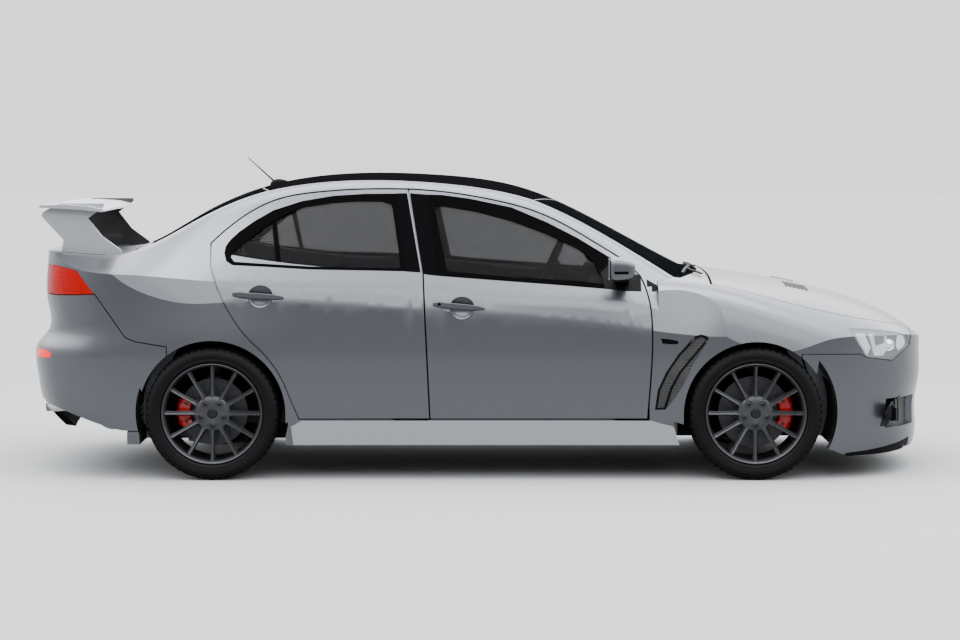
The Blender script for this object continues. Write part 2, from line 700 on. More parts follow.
@dataclass
class Wheel:
    """Tyre with its tread, twelve-spoke wheel with five nuts, and the drilled brake disc behind it."""

    axle: Axle
    side: Side
    radius: float = 326.5
    half_width: float = 122.5
    rim_radius: float = 245.5
    rim_half: float = 116.0
    track_half: float = 772.5
    spokes: int = 12
    nuts: int = 5
    nut_circle: float = 57.15
    spoke_root: float = 66.0
    spoke_half: float = 10.5
    spoke_taper: float = 2.0
    tread_steps: int = 168
    disc_radii: tuple = (175.0, 165.0)
    disc_faces: tuple = (776.6, 747.5)
    drill_rings: tuple = (0.94, 0.84, 0.74, 0.64)
    drills_a_ring: int = 24
    drill_radius: float = 3.4

    @property
    def word(self) -> str:
        """Corner of the car in words."""
        return f"{self.axle.word}_{self.side.word}"

    @property
    def centre(self) -> Vector:
        """Centre of the wheel in metres."""
        return Vector((self.axle.value, self.side.value * self.track_half, self.radius)) * MM

    def build(self) -> None:
        """Build the tyre, the wheel and the holes of the disc."""
        self.build_tyre()
        self.build_rim()
        self.build_disc_holes()

    def build_tyre(self) -> None:
        """Spin the sidewalls and the tread, with grooves round it and slots across its shoulders."""
        piece = Piece(f"tread_tyre_{self.word}", f"wheel_{self.word}", TYRE)
        outer, rim, half = self.radius, self.rim_radius, self.half_width
        flank = [(rim - 12, 104), (rim + 1, 107), (rim + 7, 117), (rim + 14, half - 3),
                 (rim + 17, half - 0.5), (rim + 21, half - 2.5), (rim + 24, half - 1), (rim + 40, half),
                 (rim + 43, half - 1.2), (rim + 46, half), (outer - 26, half - 3), (outer - 16, half - 8)]
        ribs = [(outer - 7, half - 17), (outer - 1.5, half - 36), (outer - 0.5, 70), (outer - 8, 68),
                (outer - 8, 60), (outer, 58), (outer, 24), (outer - 8, 22), (outer - 8, 13), (outer, 11)]
        right = flank + ribs
        profile = right + [(radius, -y) for radius, y in reversed(right)]
        faces = piece.lathe(profile, self.centre, steps=self.tread_steps)
        slots = [face for face in faces if self.is_slot(face)]
        bmesh.ops.inset_individual(piece.bm, faces=slots, thickness=0.8 * MM, depth=-4.5 * MM)
        piece.done(f"tyre_{self.word}", turn_out=True, sharp=24)

    def is_slot(self, face: bmesh.types.BMFace) -> bool:
        """Tell whether a face of the tread is a slot across a shoulder or a rib."""
        place = face.calc_center_median() - self.centre
        out = math.hypot(place.x, place.z) / MM
        across = abs(place.y) / MM
        turn = (math.atan2(place.z, place.x) % math.tau) / math.tau
        step = round(turn * self.tread_steps - 0.5)
        if out < self.radius - 13:
            return False
        if across > 72:
            return step % 3 == 0
        return 28 < across < 56 and step % 4 == (0 if place.y > 0 else 2)

    def build_rim(self) -> None:
        """Build the barrel, hub, tapered spokes, nuts and cap."""
        piece = Piece(f"cast_wheel_{self.word}", f"wheel_{self.word}", GUNMETAL, RIM_DARK, NUT_STEEL)
        rim, half, side = self.rim_radius, self.rim_half, self.side.value
        lip = [(rim - 16, half - 34), (rim - 13, half - 12), (rim - 7, half - 3.5), (rim - 3, half - 0.5),
               (rim, half - 1.5), (rim, half - 9), (rim - 9, half - 12), (rim - 12, half - 30)]
        piece.lathe(lip, self.centre, steps=96, sign=side)
        barrel = [(rim - 12, half - 30), (rim - 15, -half + 12), (rim - 2, -half + 6), (rim - 2, -half + 1),
                  (rim - 18, -half + 4), (rim - 22, -half + 20), (rim - 22, half - 60), (rim - 17, half - 34)]
        piece.lathe(barrel, self.centre, steps=96, material=1, sign=side)
        face = half - 24
        hub = [(24, face - 3), (34, face - 1.5), (44, face), (74, face - 4), (84, face - 9), (90, face - 20),
               (88, face - 42), (30, face - 46)]
        piece.lathe(hub, self.centre, steps=60, sign=side)
        cap = [(0.2, face + 4), (14, face + 3.4), (20, face + 2), (22.5, face - 1), (23, face - 6)]
        piece.lathe(cap, self.centre, steps=36, material=2, sign=side)
        self.add_spokes(piece, face)
        self.add_nuts(piece, face)
        piece.done(f"rim_{self.word}", turn_out=True, sharp=30)

    def add_spokes(self, piece: Piece, face: float) -> None:
        """Shape one spoke from a block, tapered and flared at both ends, and copy it round the hub."""
        inner, outer = self.spoke_root, self.rim_radius - 12
        spoke = bmesh.new()
        bmesh.ops.create_cube(spoke, size=1.0)
        length = [edge for edge in spoke.edges if abs(edge.verts[0].co.x - edge.verts[1].co.x) > 0.5]
        bmesh.ops.subdivide_edges(spoke, edges=length, cuts=9)
        for vert in spoke.verts:
            along = vert.co.x + 0.5
            on_face = vert.co.z > 0
            flare = 1.0 + 1.3 * max(0.0, 1 - along / 0.3) ** 2 + 0.6 * max(0.0, (along - 0.82) / 0.18) ** 2
            wide = (self.spoke_half - self.spoke_taper * along) * flare * (0.5 if on_face else 1.0)
            deep = face - 7 + 9 * along + 4 * along ** 3 if on_face else face - 27 + 7 * along
            across = 1 if vert.co.y > 0 else -1
            vert.co = Vector((inner + (outer - inner) * along, self.side.value * deep, across * wide)) * MM
        ridges = [edge for edge in spoke.edges if edge.calc_face_angle(0) > math.radians(30)
                  and abs(edge.verts[0].co.x - edge.verts[1].co.x) > 2 * MM]
        bmesh.ops.bevel(spoke, geom=ridges, offset=2.4 * MM, segments=2, profile=0.5, affect="EDGES",
                        material=-1)
        bmesh.ops.spin(spoke, geom=spoke.faces[:], cent=(0, 0, 0), axis=(0, 1, 0), angle=math.tau,
                       steps=self.spokes, use_duplicate=True)
        bmesh.ops.remove_doubles(spoke, verts=spoke.verts, dist=1e-6)
        bmesh.ops.translate(spoke, verts=spoke.verts, vec=self.centre)
        piece.take(spoke)

    def add_nuts(self, piece: Piece, face: float) -> None:
        """Set five nuts in round pockets, one of them straight below the cap."""
        side = self.side.value
        for i in range(self.nuts):
            turn = math.radians(270 + 72 * i)
            spot = self.centre + Vector((math.cos(turn), 0, math.sin(turn))) * self.nut_circle * MM
            pocket = [(20, face - 6), (19.5, face + 0.5), (17, face + 1.5), (15, face - 1), (14, face - 9)]
            piece.lathe(pocket, spot, steps=28, sign=side)
            seat = [(14.5, face - 8), (0.3, face - 8)]
            piece.lathe(seat, spot, steps=28, material=1, sign=side)
            nut = [(0.3, face + 5), (7, face + 4.6), (10.5, face + 2), (11.5, face - 2), (11.5, face - 9)]
            piece.lathe(nut, spot, steps=6, material=2, sign=side)

    def build_disc_holes(self) -> None:
        """Lay the drilled holes' dark mouths on both faces of the disc."""
        piece = Piece(f"disc_drillings_{self.word}", f"wheel_{self.word}", WELL_BLACK)
        outer = self.disc_radii[0] if self.axle is Axle.FRONT else self.disc_radii[1]
        upright = Matrix.Rotation(math.pi / 2, 4, "X")
        for ring, share in enumerate(self.drill_rings):
            for i in range(self.drills_a_ring):
                turn = math.tau * (i + ring * 0.27) / self.drills_a_ring
                for depth in self.disc_faces:
                    spot = Vector((self.axle.value + outer * share * math.cos(turn), self.side.value * depth,
                                   self.radius + outer * share * math.sin(turn))) * MM
                    bmesh.ops.create_circle(piece.bm, cap_ends=True, radius=self.drill_radius * MM,
                                            segments=8, matrix=Matrix.Translation(spot) @ upright)
        piece.done()


# Outlines on the side elevation, in millimetres: the borders of the black areas round the side windows
SURROUND_FRONT = [
    (-258, 1388), (-190, 1387), (-49, 1368), (158, 1325), (333, 1252), (481, 1177), (640, 1082), (700, 1042),
    (745, 1014), (738, 921), (677, 928), (417, 950), (69, 976), (-192, 996), (-204, 998)]
GLASS_FRONT = [
    (-222, 1334), (-190, 1332), (-18, 1304), (158, 1257), (332, 1193), (480, 1123), (520, 1098), (560, 1060),
    (612, 958), (417, 974), (69, 998), (-150, 1018), (-160, 1024)]
SURROUND_REAR = [
    (-408, 1393), (-562, 1392), (-719, 1382), (-875, 1356), (-1015, 1311), (-1108, 1258), (-1180, 1207),
    (-1222, 1168), (-1243, 1138), (-1248, 1104), (-1235, 1066), (-1204, 1048), (-1050, 1041), (-827, 1028),
    (-500, 1022), (-362, 1019)]
GLASS_REAR = [
    (-427, 1318), (-436, 1340), (-478, 1353), (-600, 1354), (-718, 1347), (-867, 1324), (-952, 1293),
    (-1040, 1242), (-1120, 1180), (-1200, 1118), (-1214, 1086), (-1196, 1064), (-1050, 1055), (-827, 1042),
    (-500, 1034), (-384, 1030), (-392, 1100)]
PILLAR_REAR = [(-410, 1394), (-357, 1395), (-286, 1014), (-364, 1019)]
PILLAR_FRONT = [(-343, 1395), (-258, 1388), (-204, 998), (-274, 1006)]
DIVIDER_BAR = [(-1030, 1306), (-1004, 1306), (-966, 1046), (-990, 1046)]
SAIL = [(660, 1072), (746, 1014), (790, 990), (790, 921), (742, 923), (612, 936), (592, 1010)]
SAIL_TAIL = [(795, 985), (822, 975), (866, 950), (876, 934), (860, 919), (800, 919)]


@dataclass
class SideWindows:
    """Black surrounds, pillar covers and mirror triangle of one side."""

    side: Side
    surround_lift: float = 0.8
    pillar_lift: float = 2.0
    bar_lift: float = -4.0
    sail_lift: float = 2.2
    sail_tail_lift: float = 1.2

    def build(self) -> None:
        """Lay every black piece on the doors' frames, and the triangle's tail on the fender."""
        rows = (
            (Axle.FRONT, "surround_front", SEAL, SURROUND_FRONT, [GLASS_FRONT], self.surround_lift),
            (Axle.REAR, "surround_rear", SEAL, SURROUND_REAR, [GLASS_REAR], self.surround_lift),
            (Axle.FRONT, "pillar_cover_front", BLACK_GLOSS, PILLAR_FRONT, [], self.pillar_lift),
            (Axle.REAR, "pillar_cover_rear", BLACK_GLOSS, PILLAR_REAR, [], self.pillar_lift),
            (Axle.REAR, "divider_bar", SEAL, DIVIDER_BAR, [], self.bar_lift),
            (Axle.FRONT, "mirror_sail", TRIM_BLACK, SAIL, [], self.sail_lift))
        word = self.side.word
        skins = {axle: Skin(f"door_{axle.word}_{word}") for axle in Axle}
        panes = {axle: Skin(f"door_glass_{axle.word}_{word}") for axle in Axle}
        for axle, name, finish, outline, holes, lift in rows:
            SidePanel(f"{name}_{word}", f"door_{axle.word}_{word}", finish, outline, holes, lift).build(
                skins[axle], panes[axle], self.side)
        SidePanel(f"fender_sail_{word}", "body", TRIM_BLACK, SAIL_TAIL, [], self.sail_tail_lift).build(
            Skin("front_fenders", "body_shell"), None, self.side)


@dataclass
class DoorHandle:
    """Pull handle with its round finger recess pressed into the door."""

    side: Side
    axle: Axle
    bar_height: float = 24.0
    stand_off: float = 26.0
    recess_radius: float = 63.0
    recess_depth: float = 27.0
    recess_lift: float = 6.0
    lock_inset: float = 32.0

    @property
    def bar(self) -> tuple[tuple[float, float], tuple[float, float]]:
        """Ends of the bar on the side elevation."""
        return ((-226, 864), (26, 843)) if self.axle is Axle.FRONT else ((-1199, 912), (-950, 896))

    @property
    def recess(self) -> tuple[float, float]:
        """Centre of the recess on the side elevation."""
        return (-84, 849) if self.axle is Axle.FRONT else (-1063, 905)

    def build(self) -> None:
        """Press the recess into a copy of the door and set the bar over it."""
        word = f"{self.axle.word}_{self.side.word}"
        door = f"door_{word}"
        skin = Skin(door)
        x, z = self.recess
        out = skin.side_depth(x, z, self.side)
        self.press_recess(door, Vector((x, self.side.value * out, z)))
        piece = Piece(f"handle_{word}", door, SILVER, SEAL)
        (x1, z1), (x2, z2) = self.bar
        verts = piece.block((x1, -0.5, -0.5), (x2, 0.5, 0.5), cuts=6)
        for vert in verts:
            share = (vert.co.x / MM - x1) / (x2 - x1)
            taper = 1 - 0.28 * share ** 2
            end = max(0.0, abs(share - 0.5) * 2 - 0.86) / 0.14
            round_off = math.sqrt(max(0.0, 1 - 0.8 * end ** 2))
            surface = skin.side_depth(x1 + (x2 - x1) * share, z1 + (z2 - z1) * share, self.side) or out
            height = vert.co.z / MM * self.bar_height * taper * round_off
            bow = self.stand_off * (1 - 0.35 * (2 * share - 1) ** 2)
            deep = vert.co.y / MM * self.side.value + 0.5
            base = surface + (6 if 0.16 < share < 0.84 else -3)
            out_there = base + deep * (surface + bow - base)
            vert.co = Vector((x1 + (x2 - x1) * share, self.side.value * out_there,
                              z1 + (z2 - z1) * share + height)) * MM
        piece.round_edges(5.0, 3, 45)
        if self.axle is Axle.FRONT:
            side, lock_x = self.side.value, x1 + self.lock_inset
            lock = Vector((lock_x, 0, z1 - 2)) * MM
            lock.y = side * ((skin.side_depth(lock_x, z1, self.side) or out) + 20) * MM
            piece.lathe([(0.3, 3.5), (7, 3), (9, 0), (9, -6)], lock, 20, 1, sign=side)
        piece.done(turn_out=True)

    def press_recess(self, door: str, spot: Vector) -> None:
        """Cut a shallow bowl into a merged copy of the door's mesh.

        Args:
            door: Name of the CAD door.
            spot: Middle of the recess on the skin, in millimetres.
        """
        panel = Piece(f"skin_of_{door}", door, SILVER, TRIM_BLACK)
        panel.bm.from_mesh(bpy.data.objects[door].data)
        bmesh.ops.remove_doubles(panel.bm, verts=panel.bm.verts, dist=1e-5)
        bowl = bmesh.new()
        bmesh.ops.create_uvsphere(bowl, u_segments=48, v_segments=24, radius=1.0)
        half = Vector((self.recess_radius, self.recess_depth, self.recess_radius))
        bmesh.ops.scale(bowl, vec=half * MM, verts=bowl.verts)
        lifted = spot + Vector((0, self.side.value * self.recess_lift, 0))
        bmesh.ops.translate(bowl, vec=lifted * MM, verts=bowl.verts)
        cutter_mesh = bpy.data.meshes.new("bowl")
        bowl.to_mesh(cutter_mesh)
        bowl.free()
        cutter = placed("bowl", cutter_mesh)
        for face in panel.bm.faces:
            face.material_index = 0
        made = panel.done(door, sharp=28)
        press = made.modifiers.new("recess", "BOOLEAN")
        press.operation = "DIFFERENCE"
        press.solver = "EXACT"
        press.object = cutter
        with bpy.context.temp_override(object=made, active_object=made, selected_objects=[made]):
            bpy.ops.object.modifier_apply(modifier=press.name)
        bpy.data.objects.remove(cutter)
        shaped = bmesh.new()
        shaped.from_mesh(made.data)
        shade(shaped, 24)
        shaped.to_mesh(made.data)
        shaped.free()


@dataclass
class DoorMirror:
    """Mirror housing: a rounded silver cap with a dark slot, on a black foot."""

    side: Side
    low: tuple = (624, 905, 975)
    high: tuple = (751, 1011, 1097)
    squareness: float = 4.2
    dark_below: float = 989.0
    slot_box: tuple = ((630, 0, 1014), (716, 1, 1027))
    foot_box: tuple = ((652, 0, 966), (722, 1, 992))
    foot_reach: tuple = (776.0, 938.0)
    pane_box: tuple = ((622.6, 918, 990), (625, 1000, 1086))

    def build(self) -> None:
        """Shape the cap, the dark slot, the foot and the mirror's pane."""
        word = self.side.word
        piece = Piece(f"mirror_cap_{word}", f"door_front_{word}", SILVER, TRIM_BLACK, SEAL)
        sign = self.side.value
        middle = [(a + b) / 2 for a, b in zip(self.low, self.high)]
        half = [(b - a) / 2 for a, b in zip(self.low, self.high)]
        verts = piece.block((-1000, -1000, -1000), (1000, 1000, 1000), cuts=7)
        for vert in verts:
            reach = sum(abs(c) ** self.squareness for c in vert.co) ** (1 / self.squareness)
            spot = vert.co / reach
            forward = 0.5 + 0.5 * spot.x
            spot.z *= 1 - 0.34 * forward ** 2
            spot.z -= 0.1 * forward ** 2
            spot.y *= 1 - 0.25 * forward ** 2
            vert.co = Vector((middle[0] + half[0] * spot.x, sign * (middle[1] + half[1] * spot.y),
                              middle[2] + half[2] * spot.z)) * MM
        for face in piece.bm.faces:
            if face.calc_center_median().z < self.dark_below * MM:
                face.material_index = 1
        slot = piece.block(*self.slot_box, cuts=3, material=2)
        cap = BVHTree.FromBMesh(piece.bm)
        for vert in slot:
            hit = cap.ray_cast(Vector((vert.co.x, sign * 1.2, vert.co.z)), Vector((0, -sign, 0)))[0]
            out = abs(hit.y) / MM if hit else self.high[1]
            vert.co.y = sign * (out - 4 + 5.4 * vert.co.y / MM) * MM
        foot = piece.block(*self.foot_box, cuts=3, material=1)
        near, far = self.foot_reach
        for vert in foot:
            share = vert.co.y / MM
            vert.co.y = sign * (near + (far - near) * share) * MM
            vert.co.x += 12 * (1 - share) * MM
            vert.co.z += (3 * share - 3) * MM
        piece.round_edges(3.0, 2, 60)
        piece.done(f"mirror_{word}", turn_out=True, sharp=40)
        pane = Piece(f"mirror_pane_{word}", f"door_front_{word}", REFLECTOR)
        for vert in pane.block(*self.pane_box):
            vert.co.y *= sign
        pane.round_edges(0.9, 1, 60)
        pane.done(turn_out=True)


def lamp_shell(node: str, facing: Vector, side: Side, limit: float, gauge: float,
               shift: tuple = (0, 0, 0), longest: float = 0.0) -> bmesh.types.BMesh:
    """Give the faces of a CAD lamp that point outwards on one side, moved inwards and thickened.

    Args:
        node: CAD node of both lamps.
        facing: Way that they look.
        side: Side of the car.
        limit: Least cosine between a face's normal and that way.
        gauge: Thickness in millimetres.
        shift: Way that they move, in millimetres.
        longest: Length in millimetres past which edges are cut in three, or nothing.

    Returns:
        A new mesh of these faces, merged.
    """
    bm = bmesh.new()
    bm.from_mesh(bpy.data.objects[node].data)
    bmesh.ops.remove_doubles(bm, verts=bm.verts, dist=1e-5)
    aim = facing.normalized()
    wrong = [face for face in bm.faces if face.calc_center_median().y * side.value < 0
             or face.normal.dot(aim) < limit]
    bmesh.ops.delete(bm, geom=wrong, context="FACES")
    bmesh.ops.translate(bm, verts=bm.verts, vec=Vector(shift) * MM)
    if longest:
        long_edges = [edge for edge in bm.edges if edge.calc_length() > longest * MM]
        bmesh.ops.subdivide_edges(bm, edges=long_edges, cuts=2)
    bmesh.ops.solidify(bm, geom=bm.faces[:], thickness=gauge * MM)
    return bm


# Outlines on the side elevation, in millimetres: the bright parts of the lamp, from the rear to the nose
LAMP_WEDGES = (
    [(1826, 716), (1884, 712), (1916, 640), (1898, 606), (1880, 612)],
    [(1905, 712), (1930, 711), (1942, 650), (1990, 662), (1988, 690), (2000, 700), (2010, 640), (1985, 600),
     (1935, 602)],
    [(2062, 696), (2098, 690), (2110, 664), (2108, 640), (2072, 618), (2056, 640)])


@dataclass
class HeadLamp:
    """Clear lens over a dark housing with three bright wedges and a round projector."""

    side: Side
    lens_gauge: float = 3.0
    back_gauge: float = 2.0
    wedge_sink: tuple = (14.0, 26.0)
    projector: tuple = (2018.0, 650.0)
    projector_bowl: tuple = ((0.3, 14), (12, 12), (21, 6), (25, 0), (29, 2), (31, -4))

    def build(self) -> None:
        """Build the lens, the housing and the bowls."""
        sign = self.side.value
        word = self.side.word
        aim = Vector((0.55, sign, 0.25))
        lens = Piece(f"headlamp_lens_{word}", "body", LENS)
        lens.take(lamp_shell("headlamps", aim, self.side, 0.35, self.lens_gauge))
        lens.done("headlamps", sharp=40)
        house = Piece(f"headlamp_housing_{word}", "body", LAMP_DARK, REFLECTOR)
        house.take(lamp_shell("headlamps", aim, self.side, 0.35, self.back_gauge, (-26, -sign * 34, -3)))
        self.add_bowls(house)
        house.done(sharp=40)

    def add_bowls(self, piece: Piece) -> None:
        """Add the three bright wedges and the round projector between them."""
        sign = self.side.value
        skin = Skin("headlamps")
        for outline in LAMP_WEDGES:
            part = bmesh.new()
            verts = [part.verts.new((x * MM, 0, z * MM)) for x, z in outline]
            face = part.faces.new(verts)
            bmesh.ops.inset_region(part, faces=[face], thickness=5 * MM)
            bmesh.ops.subdivide_edges(part, edges=part.edges[:], cuts=1, use_grid_fill=True)
            for vert in part.verts:
                out = skin.side_depth(vert.co.x / MM, vert.co.z / MM, self.side) or 700.0
                rim = any(len(edge.link_faces) == 1 for edge in vert.link_edges)
                vert.co.y = sign * (out - self.wedge_sink[0 if rim else 1]) * MM
            bmesh.ops.solidify(part, geom=part.faces[:], thickness=2 * MM)
            piece.take(part, 1)
        spot_out = skin.side_depth(2030, 650, self.side) or 620.0
        x, z = self.projector
        centre = Vector((x, sign * (spot_out - self.wedge_sink[1]), z)) * MM
        piece.lathe(self.projector_bowl, centre, 32, 1, sign=sign)


@dataclass
class TailLamp:
    """Red lens over a dark frame and a stack of bright cells."""

    side: Side
    lens_gauge: float = 3.0
    back_gauge: float = 2.0
    rows: int = 4
    columns: int = 3
    first_cell: tuple = (-2040.0, 925.0)
    cell_step: tuple = (40.0, 26.0)
    cell_rake: float = 6.0
    cell_sink: float = 14.0
    cell_bowl: tuple = ((0.3, -6), (6, -4), (10, 1), (11.5, 4), (12.5, 0))

    def build(self) -> None:
        """Build the lens and the cells behind it."""
        sign = self.side.value
        word = self.side.word
        aim = Vector((-0.8, sign, 0.1))
        lens = Piece(f"tail_lamp_lens_{word}", "body", RED_LENS)
        lens.take(lamp_shell("tail_lamps", aim, self.side, 0.3, self.lens_gauge))
        lens.done("tail_lamps", sharp=40)
        cells = Piece(f"tail_lamp_cells_{word}", "body", RED_CELL, LAMP_DARK)
        cells.take(lamp_shell("tail_lamps", aim, self.side, 0.3, self.back_gauge, (16, -sign * 20, 0), 20.0))
        skin = Skin("tail_lamps")
        for row in range(self.rows):
            for column in range(self.columns):
                x = self.first_cell[0] + self.cell_step[0] * column - self.cell_rake * row
                z = self.first_cell[1] + self.cell_step[1] * row
                out = skin.side_depth(x, z, self.side)
                past_the_edge = x > -1920 - 22 * row
                if out and not past_the_edge:
                    spot = Vector((x, sign * (out - self.cell_sink), z)) * MM
                    cells.lathe(self.cell_bowl, spot, 16, sign=sign)
        cells.done(sharp=40)


# Outlines on the side elevation, in millimetres: the vent behind the front wheel and the slot above it
VENT_FRAME = [
    (1049, 708), (1076, 716), (1106, 707), (1114, 690), (1051, 616), (982, 530), (940, 452), (908, 348),
    (855, 346), (868, 442), (908, 531), (968, 620)]
VENT_NET = [
    (1056, 697), (1076, 703), (1096, 696), (1099, 689), (1041, 618), (971, 532), (928, 452), (899, 358),
    (866, 357), (880, 442), (920, 530), (978, 616)]
REPEATER_SLOT = [(882, 696), (920, 692), (962, 684), (968, 676), (962, 668), (925, 668), (889, 671)]


@dataclass
class FenderDetails:
    """Frame and net of the vent behind the front wheel, and the dark repeater slot above it."""

    side: Side

    def build(self) -> None:
        """Build the frame, the net and the repeater slot."""
        skin = Skin("front_fenders", "fender_vents")
        for name, finish, outline, holes, lift, thickness in (
                ("vent_frame", TRIM_BLACK, VENT_FRAME, [VENT_NET], 2.0, 5.0),
                ("vent_net", NET, VENT_NET, [], -3.0, 2.0),
                ("repeater_slot", BLACK_GLOSS, REPEATER_SLOT, [], 1.5, 3.0)):
            SidePanel(f"{name}_{self.side.word}", "body", finish, outline, holes, lift, thickness).build(
                skin, None, self.side)


# Outlines on the side elevation, in millimetres: the corner intake's side, and the lower edge of the bumper
FOG_RECESS = [
    (1972, 250), (1998, 320), (2024, 358), (2088, 398), (2090, 330), (2078, 285), (2050, 258), (2010, 248)]
LIP_EDGE = [
    (1795, 110), (1900, 112), (2020, 114), (2100, 120), (2150, 134), (2150, 176), (2090, 160), (2000, 146),
    (1900, 134), (1795, 126)]


@dataclass
class NoseDetails:
    """Fog lamps with their recesses, lip edge and grille bars of the front bumper."""

    fog_place: tuple = (2024.0, 318.0)
    fog_profile: tuple = ((0.3, 9), (10, 8), (17, 4), (20, 0), (24, 2), (26, -4))
    fog_shape: tuple = (0.55, 1.0, 1.25)
    intake_bars: tuple = (2052, 2070)
    bar_ends: tuple = (270, 385)
    grille_levels: tuple = (285, 330, 375)
    grille_half: float = 322.0

    def build(self) -> None:
        """Build every piece of the nose."""
        for side in Side:
            self.build_fog(side)
            self.build_lip(side)
        self.build_grille()

    def build_fog(self, side: Side) -> None:
        """Set a dark recess, an oval lamp and two upright bars in the corner intake's side."""
        sign = side.value
        skin = Skin("front_bumper")
        SidePanel(f"fog_recess_{side.word}", "body", LAMP_DARK, FOG_RECESS, [], 1.2, 2.0, 12.0).build(
            skin, None, side)
        piece = Piece(f"fog_lamp_{side.word}", "body", REFLECTOR, TRIM_BLACK)
        x, z = self.fog_place
        out = skin.side_depth(x, z + 2, side) or 700
        centre = Vector((x, sign * (out + 2), z)) * MM
        piece.lathe(self.fog_profile, centre, 28, sign=sign)
        bmesh.ops.scale(piece.bm, vec=self.fog_shape, space=Matrix.Translation(-centre), verts=piece.bm.verts)
        low, high = self.bar_ends
        for x in self.intake_bars:
            bar_out = skin.side_depth(x, 330, side) or 680
            verts = piece.block((x - 3, bar_out, low), (x + 3, bar_out + 6, high), cuts=1, material=1)
            for vert in verts:
                level = vert.co.z / MM
                near = skin.side_depth(vert.co.x / MM, level, side) or bar_out
                vert.co.y = sign * (near + (5 if vert.co.y / MM > bar_out + 3 else 0)) * MM
        piece.done(turn_out=True)

    def build_lip(self, side: Side) -> None:
        """Lay the black lower edge along the lip."""
        SidePanel(f"lip_edge_{side.word}", "body", TRIM_BLACK, LIP_EDGE, [], 2.0, 3.0, 14.0).build(
            Skin("front_bumper"), None, side)

    def build_grille(self) -> None:
        """Set three bars in the grille's opening."""
        piece = Piece("grille_bars", "body", TRIM_BLACK)
        skin = Skin("grille")
        for level in self.grille_levels:
            verts = piece.block((0, -self.grille_half, level - 5), (12, self.grille_half, level + 5), cuts=5)
            for vert in verts:
                hit = skin.ray(Vector((3, vert.co.y, vert.co.z)), Vector((-1, 0, 0)))
                vert.co.x += (hit.x if hit else 2.2) + 1 * MM
        piece.done(turn_out=True)


@dataclass
class TopDetails:
    """Wiper arms, hood vent slats and the roof antenna's foot."""

    wiper_routes: tuple = (((1105, -560), (1060, -420), (1055, -330)),
                           ((1110, -90), (1090, 60), (1088, 200)))
    arm_height: float = 7.0
    slats: int = 6
    first_slat: float = 1548.0
    slat_step: float = 20.0
    slat_ends: tuple = (205, 388)
    foot_centre: float = -1040.0
    foot_half: tuple = (46.0, 19.0, 26.0)

    def build(self) -> None:
        """Build the pieces on the top of the car."""
        self.build_wipers()
        self.build_hood_vents()
        self.build_antenna()

    def drop(self, skin: Skin, x: float, y: float) -> float:
        """Give the level of the skin under a point seen from above, in millimetres."""
        hit = skin.ray(Vector((x * MM, y * MM, 3)), Vector((0, 0, -1)))
        return hit.z / MM if hit else 900.0

    def build_wipers(self) -> None:
        """Bend each wiper's arm from its pivot cap to its blade."""
        piece = Piece("wiper_arms", "body", TRIM_BLACK, SEAL)
        skin = Skin("windscreen", "body_shell", "hood")
        for route in self.wiper_routes:
            chain = smooth_line(list(route), 5)
            rows = []
            for i, (x, y) in enumerate(chain):
                level = self.drop(skin, x, y) + 9 - 3 * i / len(chain)
                half = 8 - 3 * i / len(chain)
                top = level + self.arm_height
                rows.append([piece.bm.verts.new(Vector(spot) * MM) for spot in
                             ((x - half, y, level), (x + half, y, level), (x + half * 0.6, y, top),
                              (x - half * 0.6, y, top))])
            for row in rows:
                for i in range(4):
                    piece.bm.edges.new((row[i], row[(i + 1) % 4]))
            for before, after in zip(rows, rows[1:]):
                rings = [piece.bm.edges.get((row[i], row[(i + 1) % 4]))
                         for row in (before, after) for i in range(4)]
                bmesh.ops.bridge_loops(piece.bm, edges=rings)
            for row in (rows[0], rows[-1]):
                piece.bm.faces.new(row)
        piece.done(turn_out=True)

    def build_hood_vents(self) -> None:
        """Lay tilted slats across each hood vent."""
        skin = Skin("hood", "hood_vents")
        for side in Side:
            piece = Piece(f"hood_vent_frame_{side.word}", "hood", TRIM_BLACK, NET)
            for i in range(self.slats):
                x = self.first_slat + self.slat_step * i
                verts = piece.block((x - 4, self.slat_ends[0], 0), (x + 6, self.slat_ends[1], 5), cuts=3)
                for vert in verts:
                    vert.co.y *= side.value
                    tilt = 6 * (vert.co.x / MM - x + 4) / 10
                    vert.co.z += (self.drop(skin, vert.co.x / MM, vert.co.y / MM) + tilt - 5) * MM
            piece.done(turn_out=True)

    def build_antenna(self) -> None:
        """Shape the antenna's foot on the roof; the mast itself is the CAD's."""
        piece = Piece("antenna_foot", "body", TRIM_BLACK)
        verts = piece.block((-1000, -1000, -1000), (1000, 1000, 1000), cuts=5)
        skin = Skin("roof_panel", "rear_window")
        for vert in verts:
            spot = vert.co / max(0.001, vert.co.length)
            x = self.foot_centre + self.foot_half[0] * spot.x
            y = self.foot_half[1] * spot.y * (1 - 0.3 * spot.x)
            base = self.drop(skin, x, y)
            rise = self.foot_half[2] * max(0.0, spot.z) * (1 - 0.45 * (spot.x + 0.2))
            vert.co = Vector((x, y, base + rise - 2)) * MM
        piece.done(turn_out=True)


